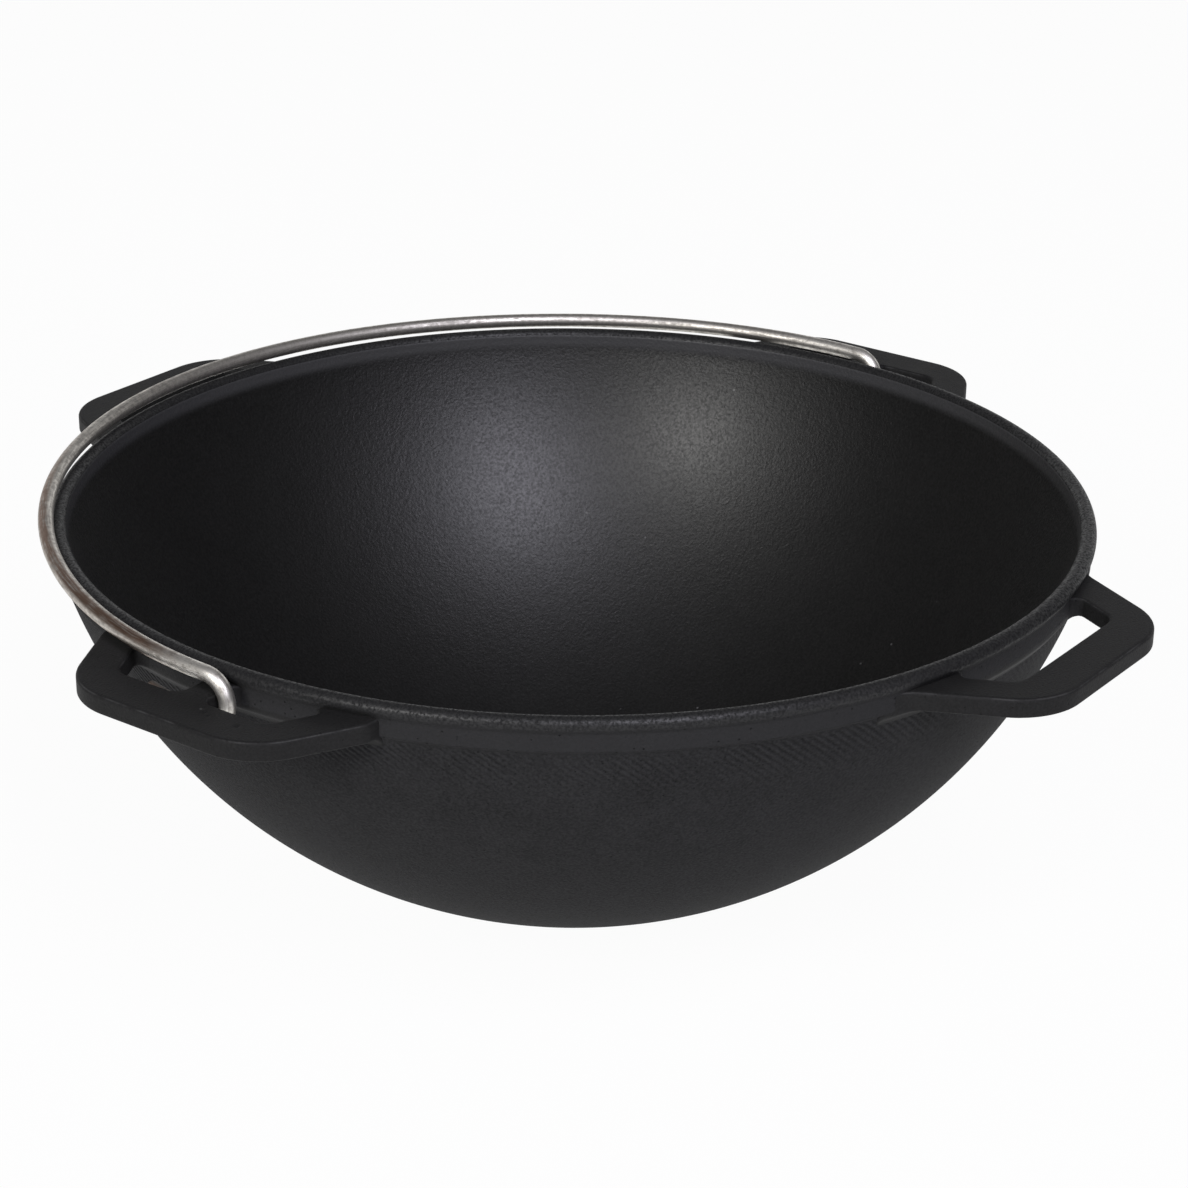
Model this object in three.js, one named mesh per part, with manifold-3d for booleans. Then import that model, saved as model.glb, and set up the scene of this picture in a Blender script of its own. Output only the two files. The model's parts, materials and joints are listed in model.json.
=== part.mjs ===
// Cast iron cauldron: a round open bowl with two loop handles, two bail ears and a swinging wire bail.
// Millimetres, +Z up. The origin is on the ground, under the middle of the bowl.
// The bail swings about an axis along X. When it is down it lies towards +Y, over the back handle.

import * as THREE from 'three';
import { mergeVertices } from 'three/addons/utils/BufferGeometryUtils.js';
import Module from 'manifold-3d';

const wasm = await Module();
wasm.setup();

const radians = THREE.MathUtils.degToRad;

// Bowl: overall sizes
const RIM_RADIUS = 200;
const BOWL_HEIGHT = 158;
const BASE_FLAT_RADIUS = 36;
const FLOOR_THICKNESS = 5;

// Bowl: the rounded lip, and the smooth bands below it on the outside and the inside
const LIP_WIDTH = 6.4;
const LIP_OVERHANG = 1.4;
const BAND_DEPTH = 13;
const BAND_STEP = 1.2;
const INNER_BAND_DEPTH = 11;
const INNER_BAND_DRAFT = 0.4;

// Ears: flat loops that stand out from the outer band, with their undersides level with its foot
const EAR_BAR_LENGTH = 82;
const EAR_BAR_WIDTH = 18;
const EAR_ARM_WIDTH = 15;
const EAR_THICKNESS = 7.2;
const EAR_FLARE = radians(27.5);
const EAR_CORNER_RADIUS = 28;
const EAR_EDGE_ROUND = 1.8;
const HOLE_CORNER_RADIUS = 8;
const BRIDGE_WIDTH = 11.5;
const BRIDGE_FILLET = 4;

// Bail: a round wire whose ends hook round the bridges of the two bail ears
const WIRE_DIAMETER = 5.8;
const HOOK_CLEARANCE = 0.4;
const HOOK_TO_LIP = 4;
const HOOK_TO_BAR = 5.1;
const TAIL_RISE = radians(11);
const TAIL_TO_ARM = 9.2;
const ARCH_TO_LIP = 1.6;
const LEG_SPREAD_POWER = 6;
const BAIL_REST_ANGLE = radians(1.05);

// The casting is one piece of iron. Its ears are bodies of their own, cut off at the band with a hair's gap.
const PARTING_GAP = 0.3;
const PARTING_OVERLAP = 2;

// How finely round forms are cut into facets
const ROUND_SEGMENTS = 64;
const WALL_STEPS = 14;
const LIP_STEPS = 6;
const CORNER_STEPS = 5;
const EDGE_STEPS = 2;
const WIRE_SIDES = 12;
const ARCH_STEPS = 48;
const HOOK_STEPS = 13;

// Levels and distances that follow from the sizes above
const bandRadius = RIM_RADIUS - LIP_OVERHANG;
const partingLevel = BOWL_HEIGHT - BAND_DEPTH;
const lipRadius = LIP_WIDTH / 2;
const lipCentre = new THREE.Vector2(RIM_RADIUS - lipRadius, BOWL_HEIGHT - lipRadius);
const lipFootLevel = lipCentre.y - LIP_OVERHANG;
const wireRadius = WIRE_DIAMETER / 2;
const hookDistance = RIM_RADIUS + HOOK_TO_LIP + wireRadius;
const barDistance = hookDistance + wireRadius + HOOK_TO_BAR;
const earReach = barDistance + EAR_BAR_WIDTH;
const earEdgeRound = Math.min(EAR_EDGE_ROUND, EAR_THICKNESS / 3);
const hookAxisLevel = partingLevel + EAR_THICKNESS / 2;
const bridgeCorner = earEdgeRound
  + Math.hypot(BRIDGE_WIDTH / 2 - earEdgeRound, EAR_THICKNESS / 2 - earEdgeRound);
const hookRadius = bridgeCorner + HOOK_CLEARANCE + wireRadius;

/** Points along an arc in a plane, from one angle to another. */
function arcPoints(centre, radius, from, to, steps) {
  const arc = new THREE.EllipseCurve(centre.x, centre.y, radius, radius, from, to, to < from);
  return arc.getPoints(steps);
}

/** The angle at which a point lies, seen from a centre. */
function angleFrom(centre, point) {
  return Math.atan2(point.y - centre.y, point.x - centre.x);
}

/** Profile points from one point to another along a sphere round the bowl's axis. */
function roundWall(start, end) {
  const level = (end.lengthSq() - start.lengthSq()) / (2 * (end.y - start.y));
  const centre = new THREE.Vector2(0, level);
  const points = arcPoints(
    centre, centre.distanceTo(start), angleFrom(centre, start), angleFrom(centre, end), WALL_STEPS,
  );
  return [start, ...points.slice(1, -1), end];
}

/** A solid turned round the bowl's axis from a profile of distances and levels. */
function turned(profile) {
  return new THREE.LatheGeometry(profile, ROUND_SEGMENTS).rotateX(Math.PI / 2);
}

/** The bowl: ground flat, round wall, outer band, rounded lip, inner band and round inside. */
function bowlGeometry() {
  const baseEdge = new THREE.Vector2(BASE_FLAT_RADIUS, 0);
  const wallTop = new THREE.Vector2(bandRadius - BAND_STEP, partingLevel);
  const insideRadius = RIM_RADIUS - LIP_WIDTH - INNER_BAND_DRAFT;
  const insideTop = new THREE.Vector2(insideRadius, BOWL_HEIGHT - INNER_BAND_DEPTH);
  const insideFloor = new THREE.Vector2(0, FLOOR_THICKNESS);
  return turned([
    new THREE.Vector2(0, 0),
    ...roundWall(baseEdge, wallTop),
    new THREE.Vector2(bandRadius, partingLevel),
    new THREE.Vector2(bandRadius, lipFootLevel),
    ...arcPoints(lipCentre, lipRadius, 0, Math.PI, LIP_STEPS),
    ...roundWall(insideTop, insideFloor),
  ]);
}

/** The space that the ears keep out of: all inside the band and the lip, with the parting gap. */
function bowlSpace() {
  const low = partingLevel - PARTING_OVERLAP;
  const high = BOWL_HEIGHT + EAR_THICKNESS;
  return turned([
    new THREE.Vector2(0, low),
    new THREE.Vector2(bandRadius + PARTING_GAP, low),
    new THREE.Vector2(bandRadius + PARTING_GAP, lipFootLevel - PARTING_GAP),
    new THREE.Vector2(RIM_RADIUS + PARTING_GAP, lipCentre.y - PARTING_GAP),
    new THREE.Vector2(RIM_RADIUS + PARTING_GAP, high),
    new THREE.Vector2(0, high),
  ]);
}

/** Points of a convex outline, counter-clockwise, whose corners are each an x, a y and a radius. */
function roundedOutline(corners) {
  return corners.flatMap(([x, y, radius], index) => {
    const corner = new THREE.Vector2(x, y);
    if (radius === 0) return [corner];
    const [beforeX, beforeY] = corners.at(index - 1);
    const [afterX, afterY] = corners[(index + 1) % corners.length];
    const incoming = new THREE.Vector2(x - beforeX, y - beforeY);
    const outgoing = new THREE.Vector2(afterX - x, afterY - y);
    const turn = incoming.angleTo(outgoing);
    const room = Math.min(incoming.length(), outgoing.length()) / 2;
    const setback = Math.min(radius * Math.tan(turn / 2), room);
    const fitted = setback / Math.tan(turn / 2);
    const start = corner.clone().addScaledVector(incoming.normalize(), -setback);
    const centre = new THREE.Vector2(-incoming.y, incoming.x).multiplyScalar(fitted).add(start);
    const from = angleFrom(centre, start);
    return arcPoints(centre, fitted, from, from + turn, CORNER_STEPS);
  });
}

/** Half the width of an ear at a distance from the bowl's axis, between lines set in from its two sides. */
function halfWidthAt(distance, inset) {
  return EAR_BAR_LENGTH / 2 + (earReach - distance) * Math.tan(EAR_FLARE) - inset / Math.cos(EAR_FLARE);
}

/** The distance at which those lines have run a little way into the band. */
function rootDistance(inset) {
  const slope = Math.tan(EAR_FLARE);
  const widthOnAxis = halfWidthAt(0, inset);
  const square = 1 + slope ** 2;
  const half = widthOnAxis * slope;
  const root = Math.sqrt(half ** 2 - square * (widthOnAxis ** 2 - bandRadius ** 2));
  return (half + root) / square - PARTING_OVERLAP;
}

/** Outline of an ear: a straight bar with rounded corners, and arms that spread towards the bowl. */
function earOutline() {
  const root = rootDistance(0);
  const rootWidth = halfWidthAt(root, 0);
  const barEnd = EAR_BAR_LENGTH / 2;
  return roundedOutline([
    [rootWidth, root, 0],
    [barEnd, earReach, EAR_CORNER_RADIUS],
    [-barEnd, earReach, EAR_CORNER_RADIUS],
    [-rootWidth, root, 0],
  ]);
}

/** One hole between the arms, open towards the bowl. */
function loopHole() {
  const root = rootDistance(EAR_ARM_WIDTH);
  const rootWidth = halfWidthAt(root, EAR_ARM_WIDTH);
  const barWidth = halfWidthAt(barDistance, EAR_ARM_WIDTH);
  return [roundedOutline([
    [rootWidth, root, 0],
    [barWidth, barDistance, HOLE_CORNER_RADIUS],
    [-barWidth, barDistance, HOLE_CORNER_RADIUS],
    [-rootWidth, root, 0],
  ])];
}

/** Two holes with a bridge between them, from the bowl to the bar, for the bail's hook. */
function bridgedHoles() {
  const root = rootDistance(EAR_ARM_WIDTH);
  const rootWidth = halfWidthAt(root, EAR_ARM_WIDTH);
  const barWidth = halfWidthAt(barDistance, EAR_ARM_WIDTH);
  const bridge = BRIDGE_WIDTH / 2;
  const right = roundedOutline([
    [bridge, root, 0],
    [rootWidth, root, 0],
    [barWidth, barDistance, HOLE_CORNER_RADIUS],
    [bridge, barDistance, BRIDGE_FILLET],
  ]);
  const left = right.map((point) => new THREE.Vector2(-point.x, point.y)).reverse();
  return [right, left];
}

/** A closed geometry as a solid that can be cut. */
function toSolid(geometry) {
  geometry.deleteAttribute('normal');
  geometry.deleteAttribute('uv');
  const merged = mergeVertices(geometry);
  return new wasm.Manifold(new wasm.Mesh({
    numProp: 3,
    vertProperties: new Float32Array(merged.getAttribute('position').array),
    triVerts: new Uint32Array(merged.getIndex().array),
  }));
}

/** A solid as a geometry with flat facets. */
function toGeometry(solid) {
  const { vertProperties, triVerts, numProp } = solid.getMesh();
  const geometry = new THREE.BufferGeometry();
  geometry.setAttribute('position', new THREE.BufferAttribute(vertProperties, numProp));
  geometry.setIndex(new THREE.BufferAttribute(triVerts, 1));
  const facets = geometry.toNonIndexed();
  facets.computeVertexNormals();
  return facets;
}

/** An ear that points along +Y, with the given holes, cut off at the bowl. */
function earGeometry(holes) {
  const outline = new THREE.Shape(earOutline());
  outline.holes = holes.map((points) => new THREE.Path(points));
  const plate = new THREE.ExtrudeGeometry(outline, {
    depth: EAR_THICKNESS - 2 * earEdgeRound,
    bevelSize: earEdgeRound,
    bevelThickness: earEdgeRound,
    bevelOffset: -earEdgeRound,
    bevelSegments: EDGE_STEPS,
  });
  plate.translate(0, 0, partingLevel + earEdgeRound);
  return toGeometry(toSolid(plate).subtract(toSolid(bowlSpace())));
}

/** The arch's distance from the bowl's axis, where its middle lies just clear of the round of the lip. */
function archDistance() {
  const rise = hookAxisLevel + hookRadius + RIM_RADIUS * Math.sin(BAIL_REST_ANGLE) - lipCentre.y;
  const apart = lipRadius + wireRadius + ARCH_TO_LIP;
  return lipCentre.x + Math.sqrt(Math.max(apart ** 2 - rise ** 2, 0));
}

/** The wire's middle line about the swing axis: tail, hook, arch, hook and tail, each with its own steps. */
class BailCurve extends THREE.Curve {
  constructor() {
    super();
    this.pieces = [
      { steps: 1, at: (t) => this.tail(1, t) },
      { steps: HOOK_STEPS, at: (t) => this.hook(1, t) },
      { steps: ARCH_STEPS, at: (t) => this.arch(t) },
      { steps: HOOK_STEPS, at: (t) => this.hook(-1, 1 - t) },
      { steps: 1, at: (t) => this.tail(-1, 1 - t) },
    ];
    this.steps = this.pieces.reduce((sum, piece) => sum + piece.steps, 0);
  }

  /** A hook round one side's bridge, from its tail, under the bridge and up to the top. */
  hook(side, t) {
    const bottom = 1.5 * Math.PI;
    const top = 0.5 * Math.PI;
    const angle = THREE.MathUtils.lerp(bottom + TAIL_RISE, top, t);
    return new THREE.Vector3(side * hookDistance, hookRadius * Math.cos(angle), hookRadius * Math.sin(angle));
  }

  /** A straight tail from its tip, short of the ear's arm, to the hook. */
  tail(side, t) {
    const foot = this.hook(side, 0);
    const tipY = halfWidthAt(hookDistance + wireRadius, EAR_ARM_WIDTH) - TAIL_TO_ARM;
    const run = tipY - foot.y;
    const tip = foot.clone().add(new THREE.Vector3(0, run, run * Math.tan(TAIL_RISE)));
    return tip.lerp(foot, t);
  }

  /** The arch, close to the lip, with its legs spread out to the hooks. */
  arch(t) {
    const angle = Math.PI * t;
    const spread = Math.abs(Math.cos(angle)) ** LEG_SPREAD_POWER;
    const distance = THREE.MathUtils.lerp(archDistance(), hookDistance, spread);
    return new THREE.Vector3(distance * Math.cos(angle), distance * Math.sin(angle), hookRadius);
  }

  getPoint(t) {
    let step = t * this.steps;
    for (const piece of this.pieces) {
      if (step <= piece.steps) return piece.at(step / piece.steps);
      step -= piece.steps;
    }
    return this.pieces.at(-1).at(1);
  }

  /** Keeps each piece's own steps, where a curve is otherwise stepped evenly along its length. */
  getUtoTmapping(u) {
    return u;
  }
}

/** The bail's wire, about its swing axis. */
function bailGeometry() {
  const path = new BailCurve();
  const section = arcPoints(new THREE.Vector2(), wireRadius, 0, 2 * Math.PI, WIRE_SIDES);
  const shape = new THREE.Shape(section.slice(1));
  return new THREE.ExtrudeGeometry(shape, { steps: path.steps, extrudePath: path });
}

/** A named mesh with a material of its own. */
function namedMesh(name, geometry, finish) {
  const mesh = new THREE.Mesh(geometry, new THREE.MeshStandardMaterial(finish));
  mesh.name = name;
  return mesh;
}

const castIron = { color: 0x29292b, roughness: 0.72, metalness: 0.25 };
const steelWire = { color: 0x8f8c87, roughness: 0.42, metalness: 0.9 };

const casting = new THREE.Group();
casting.add(namedMesh('bowl', bowlGeometry(), castIron));

const ears = [
  { name: 'back_handle', turn: 0, holes: loopHole },
  { name: 'left_bail_ear', turn: 90, holes: bridgedHoles },
  { name: 'front_handle', turn: 180, holes: loopHole },
  { name: 'right_bail_ear', turn: 270, holes: bridgedHoles },
];
for (const { name, turn, holes } of ears) {
  const ear = namedMesh(name, earGeometry(holes()), castIron);
  ear.rotation.z = radians(turn);
  casting.add(ear);
}

const bail = namedMesh('bail', bailGeometry(), steelWire);
bail.position.z = hookAxisLevel;
bail.rotation.x = BAIL_REST_ANGLE;

const cauldron = new THREE.Group();
cauldron.add(casting, bail);

export default cauldron;
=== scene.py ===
"""Looks of a cast iron cauldron with two loop handles, two bail ears and a wire bail.

Sizes are in millimetres and angles in degrees, unless a name says otherwise. Meshes are written in metres.
"""

import json
import logging
import math
from collections.abc import Callable
from dataclasses import dataclass, field
from enum import Enum
from typing import Any, ClassVar

import bpy
import numpy as np
from mathutils import Matrix, Vector


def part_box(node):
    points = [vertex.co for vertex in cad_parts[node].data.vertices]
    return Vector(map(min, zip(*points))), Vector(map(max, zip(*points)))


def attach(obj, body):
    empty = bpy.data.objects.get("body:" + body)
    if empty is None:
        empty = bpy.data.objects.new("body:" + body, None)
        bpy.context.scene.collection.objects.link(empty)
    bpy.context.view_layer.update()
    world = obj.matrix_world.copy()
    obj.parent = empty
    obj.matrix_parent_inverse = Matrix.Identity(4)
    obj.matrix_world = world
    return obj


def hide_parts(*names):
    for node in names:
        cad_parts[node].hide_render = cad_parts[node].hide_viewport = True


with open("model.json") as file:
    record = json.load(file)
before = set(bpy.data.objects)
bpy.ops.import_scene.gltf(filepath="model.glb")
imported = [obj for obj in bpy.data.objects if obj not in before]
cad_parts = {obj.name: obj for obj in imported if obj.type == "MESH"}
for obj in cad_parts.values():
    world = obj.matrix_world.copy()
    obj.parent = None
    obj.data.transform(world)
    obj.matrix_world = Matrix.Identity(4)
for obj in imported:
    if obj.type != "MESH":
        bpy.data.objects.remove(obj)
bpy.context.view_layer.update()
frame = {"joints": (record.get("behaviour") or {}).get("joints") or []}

MM = 0.001
QUARTER_TURN = 90.0
CASTING_BODY = "casting"
BAIL_BODY = "bail"
BAIL_JOINT = "bail_swing"
EDGE_ATTRIBUTE = "edge"
WIRE_ATTRIBUTE = "wire_coords"
OUTER_ATTRIBUTE = "wire_outer"
SHARE_ATTRIBUTE = "wire_share"
NUMBER = "NodeSocketFloat"
VECTOR = "NodeSocketVector"
GEOMETRY = "NodeSocketGeometry"

log = logging.getLogger("cauldron")

Array = np.ndarray
Colour = tuple[float, float, float]
Limits = tuple[float, float]
Distance = Callable[[Array], Array]
Material = bpy.types.Material
Piece = bpy.types.Object
Socket = bpy.types.NodeSocket


@dataclass(frozen=True)
class Noise:
    """Cloudy noise: the size of its spots, as a number or a socket, and how much finer detail they have."""

    size: Any
    detail: float
    roughness: float


@dataclass(frozen=True)
class Dots:
    """Scattered round marks: the spacing of their cells, their radius in cells and the share kept."""

    spacing: float
    radius: float
    kept: float


class NodeSheet:
    """A node tree with short calls to add, set and link its nodes."""

    def __init__(self, tree: bpy.types.NodeTree) -> None:
        """Keeps the shader or geometry tree to build in."""
        self.tree = tree

    @classmethod
    def emptied(cls, owner: Material | bpy.types.World) -> "NodeSheet":
        """Returns the sheet of a material or of the surroundings, without any nodes."""
        owner.use_nodes = True
        owner.node_tree.nodes.clear()
        return cls(owner.node_tree)

    def open(self, way: str, sockets: dict[str, str]) -> None:
        """Gives the tree named inputs or outputs, each with its socket type."""
        for name, kind in sockets.items():
            self.tree.interface.new_socket(name=name, in_out=way, socket_type=kind)

    def add(self, kind: str, settings: dict[str, Any] | None = None, **inputs: Any) -> bpy.types.Node:
        """Adds a node, and sets or links its inputs.

        Args:
            kind: the node's type name.
            settings: properties of the node, such as its operation.
            inputs: a value or an output socket for each input, named as in set.

        Returns:
            The new node.
        """
        node = self.tree.nodes.new(kind)
        for name, value in (settings or {}).items():
            setattr(node, name, value)
        self.set(node, **inputs)
        return node

    def set(self, node: bpy.types.Node, **inputs: Any) -> None:
        """Sets or links inputs of a node.

        Args:
            node: the node.
            inputs: a value or an output socket for each input, by its name with _ for spaces, or by its
                place as in0, in1.
        """
        for name, value in inputs.items():
            place = name[2:]
            key = int(place) if name.startswith("in") and place.isdigit() else name.replace("_", " ")
            self.feed(node.inputs[key], value)

    def feed(self, socket: Socket, value: Any) -> None:
        """Links an output socket to an input, or sets the input's value."""
        if isinstance(value, Socket):
            self.tree.links.new(value, socket)
        else:
            socket.default_value = value

    def math(self, operation: str, first: Any, second: Any, clamp: bool = False) -> Socket:
        """Adds one sum on numbers and returns its result."""
        settings = {"operation": operation, "use_clamp": clamp}
        return self.add("ShaderNodeMath", settings, in0=first, in1=second).outputs[0]

    def product(self, first: Any, *others: Any) -> Socket:
        """Returns the product of two or more numbers."""
        for other in others:
            first = self.math("MULTIPLY", first, other)
        return first

    def vector(self, operation: str, **inputs: Any) -> Socket:
        """Adds one sum on vectors and returns its result, which is a number for a dot product."""
        node = self.add("ShaderNodeVectorMath", {"operation": operation}, **inputs)
        return node.outputs["Value" if operation == "DOT_PRODUCT" else "Vector"]

    def fade(self, value: Any, low: float, high: float) -> Socket:
        """Returns a smooth step of a value, from 0 at low to 1 at high, where low may be above high."""
        settings = {"interpolation_type": "SMOOTHSTEP"}
        limits = {"From_Min": low, "From_Max": high}
        if low > high:
            limits = {"From_Min": high, "From_Max": low, "To_Min": 1.0, "To_Max": 0.0}
        return self.add("ShaderNodeMapRange", settings, Value=value, **limits).outputs["Result"]

    def spread(self, value: Any, low: float, high: float) -> Socket:
        """Returns a value from 0 to 1 spread evenly from low to high, where low may be above high."""
        return self.add("ShaderNodeMapRange", Value=value, To_Min=low, To_Max=high).outputs["Result"]

    def noise(self, place: Any, noise: Noise) -> Socket:
        """Returns noise from 0 to 1, with spots of about its size in the units of the place."""
        size = noise.size
        scale = self.math("DIVIDE", 1.0, size) if isinstance(size, Socket) else 1.0 / size
        inputs = {"Vector": place, "Scale": scale, "Detail": noise.detail, "Roughness": noise.roughness}
        return self.add("ShaderNodeTexNoise", **inputs).outputs[0]

    def attribute(self, name: str, output: str = "Fac") -> Socket:
        """Returns an attribute of the piece, as a number or as a vector."""
        return self.add("ShaderNodeAttribute", {"attribute_name": name}).outputs[output]

    def axes(self, vector: Any) -> bpy.types.bpy_prop_collection:
        """Returns the X, Y and Z of a vector."""
        return self.add("ShaderNodeSeparateXYZ", Vector=vector).outputs

    def blend(self, factor: Any, first: Any, second: Any) -> Socket:
        """Returns a mix of two colours, each a socket or an RGB triple."""
        node = self.add("ShaderNodeMix", {"data_type": "RGBA"})
        self.feed(node.inputs["Factor"], factor)
        for name, value in (("A", first), ("B", second)):
            socket = next(s for s in node.inputs if s.name == name and s.type == "RGBA")
            self.feed(socket, (*value, 1.0) if isinstance(value, tuple) else value)
        return next(s for s in node.outputs if s.type == "RGBA")

    def captured(self, geometry: Any, kind: str, value: Any) -> tuple[Socket, Socket]:
        """Keeps a value on a geometry's points, and returns the geometry and the kept value."""
        node = self.add("GeometryNodeCaptureAttribute", {"domain": "POINT"})
        node.capture_items.new(kind, "Kept")
        self.set(node, in0=geometry, in1=value)
        return node.outputs[0], node.outputs[1]

    def stored(self, geometry: Any, kind: str, name: str, value: Any) -> Socket:
        """Stores a value on a mesh's points under an attribute's name, and returns the mesh."""
        settings = {"data_type": kind, "domain": "POINT"}
        inputs = {"Geometry": geometry, "Name": name, "Value": value}
        return self.add("GeometryNodeStoreNamedAttribute", settings, **inputs).outputs[0]


class ShaderEffect:
    """A shader node group with named inputs and outputs, built once and used by several finishes."""

    def __init__(self, name: str, inputs: tuple[str, ...], outputs: tuple[str, ...]) -> None:
        """Makes the empty group.

        Args:
            name: the group's name.
            inputs: the names of the numbers that it takes, beside the vector Place in millimetres.
            outputs: the names of the numbers that it puts out.
        """
        self.tree = bpy.data.node_groups.new(name, "ShaderNodeTree")
        self.sheet = NodeSheet(self.tree)
        self.sheet.open("INPUT", {"Place": VECTOR, **dict.fromkeys(inputs, NUMBER)})
        self.sheet.open("OUTPUT", dict.fromkeys(outputs, NUMBER))
        self.given = self.sheet.add("NodeGroupInput").outputs

    def use(self, sheet: NodeSheet, **inputs: Any) -> bpy.types.bpy_prop_collection:
        """Places the group in a material.

        Args:
            sheet: the material's sheet.
            inputs: values or sockets for the group's inputs.

        Returns:
            The outputs of the placed group.
        """
        return sheet.add("ShaderNodeGroup", {"node_tree": self.tree}, **inputs).outputs


class CastGrain(ShaderEffect):
    """The sand-cast skin: a height in millimetres, and masks for mottle, speckle, pits and pale specks."""

    grain_detail: ClassVar[dict[str, float]] = {"detail": 3.0, "roughness": 0.6}
    swell_detail: ClassVar[dict[str, float]] = {"detail": 1.0, "roughness": 0.6}
    mottle: ClassVar[Noise] = Noise(size=18.0, detail=4.0, roughness=0.62)
    speckle_limits: ClassVar[Limits] = (0.3, 0.7)
    pits: ClassVar[Dots] = Dots(spacing=2.4, radius=0.20, kept=0.42)
    specks: ClassVar[Dots] = Dots(spacing=15.0, radius=0.045, kept=0.40)

    def __init__(self) -> None:
        """Builds the group."""
        super().__init__(
            "cast_grain",
            ("Grain Size", "Grain Height", "Swell Size", "Swell Height", "Pit Depth"),
            ("Height", "Mottle", "Speckle", "Pits", "Specks"),
        )
        sheet, given = self.sheet, self.given
        place = given["Place"]
        fine = sheet.noise(place, Noise(given["Grain Size"], **self.grain_detail))
        soft = sheet.noise(place, Noise(given["Swell Size"], **self.swell_detail))
        pits = self.dotted(self.pits)
        grain = sheet.product(fine, given["Grain Height"])
        raised = sheet.math("ADD", grain, sheet.product(soft, given["Swell Height"]))
        height = sheet.math("SUBTRACT", raised, sheet.product(pits, given["Pit Depth"]))
        sheet.add(
            "NodeGroupOutput", Height=height, Mottle=sheet.noise(place, self.mottle),
            Speckle=sheet.fade(fine, *self.speckle_limits), Pits=pits, Specks=self.dotted(self.specks),
        )

    def dotted(self, dots: Dots) -> Socket:
        """Returns the mask of scattered round marks."""
        place, scale = self.given["Place"], 1.0 / dots.spacing
        cells = self.sheet.add("ShaderNodeTexVoronoi", Vector=place, Scale=scale).outputs
        chosen = self.sheet.math("LESS_THAN", cells["Color"], dots.kept)
        return self.sheet.product(self.sheet.fade(cells["Distance"], dots.radius, dots.radius / 2), chosen)


class EdgeWear(ShaderEffect):
    """The thin worn line along convex edges, broken up by noise, as a mask."""

    line_limits: ClassVar[Limits] = (0.80, 1.0)
    breaks: ClassVar[Noise] = Noise(size=9.0, detail=4.0, roughness=0.65)
    break_limits: ClassVar[Limits] = (0.36, 0.66)

    def __init__(self) -> None:
        """Builds the group."""
        super().__init__("edge_wear", ("Edge",), ("Wear",))
        sheet, given = self.sheet, self.given
        line = sheet.fade(given["Edge"], *self.line_limits)
        broken = sheet.fade(sheet.noise(given["Place"], self.breaks), *self.break_limits)
        sheet.add("NodeGroupOutput", Wear=sheet.product(line, broken))


@dataclass
class Effects:
    """The shared shader effects, each built once."""

    grain: CastGrain = field(default_factory=CastGrain)
    wear: EdgeWear = field(default_factory=EdgeWear)


def new_material(name: str) -> tuple[Material, NodeSheet, bpy.types.Node]:
    """Makes a material with a bare Principled shader.

    Args:
        name: the material's name.

    Returns:
        The material, its sheet and the shader node.
    """
    material = bpy.data.materials.new(name)
    sheet = NodeSheet.emptied(material)
    shader = sheet.add("ShaderNodeBsdfPrincipled")
    sheet.add("ShaderNodeOutputMaterial", Surface=shader.outputs[0])
    return material, sheet, shader


def millimetre_place(sheet: NodeSheet) -> Socket:
    """Returns the place on the piece, in its own frame, in millimetres."""
    place = sheet.add("ShaderNodeTexCoord").outputs["Object"]
    return sheet.vector("SCALE", Vector=place, Scale=1.0 / MM)


def bump(sheet: NodeSheet, height: Any) -> Socket:
    """Returns the normal bent by a height in millimetres."""
    return sheet.add("ShaderNodeBump", Height=height, Distance=MM, Strength=1.0).outputs[0]


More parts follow.
